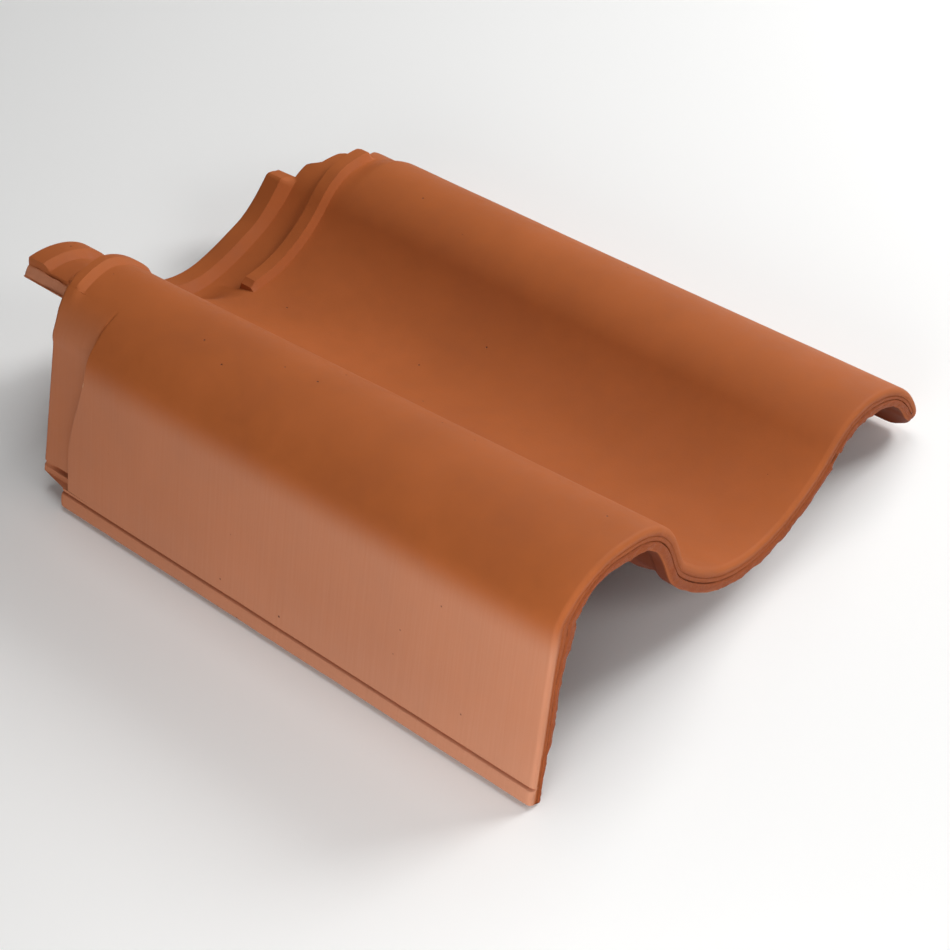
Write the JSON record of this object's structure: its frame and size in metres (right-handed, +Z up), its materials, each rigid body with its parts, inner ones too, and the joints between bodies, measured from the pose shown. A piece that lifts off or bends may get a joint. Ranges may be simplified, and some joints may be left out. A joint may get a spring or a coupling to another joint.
{
  "type": "gable roof tile",
  "caption": "Fired clay gable roof tile with two rolls, a pan and a side skirt, ribbed at the head, in matte natural terracotta red.",
  "frame": {"origin": "middle of the bottom of its box, as it lies on the floor on its skirt's foot and on its second roll's free edge", "axes": "+Y runs from the tail to the head, +X from the skirt to the second roll, +Z up"},
  "size_m": [0.3154, 0.3798, 0.1126],
  "materials": {
    "body": "natural matte fired red clay"
  },
  "bodies": {
    "root": {"gable_tile": "body"}
  },
  "joints": []
}
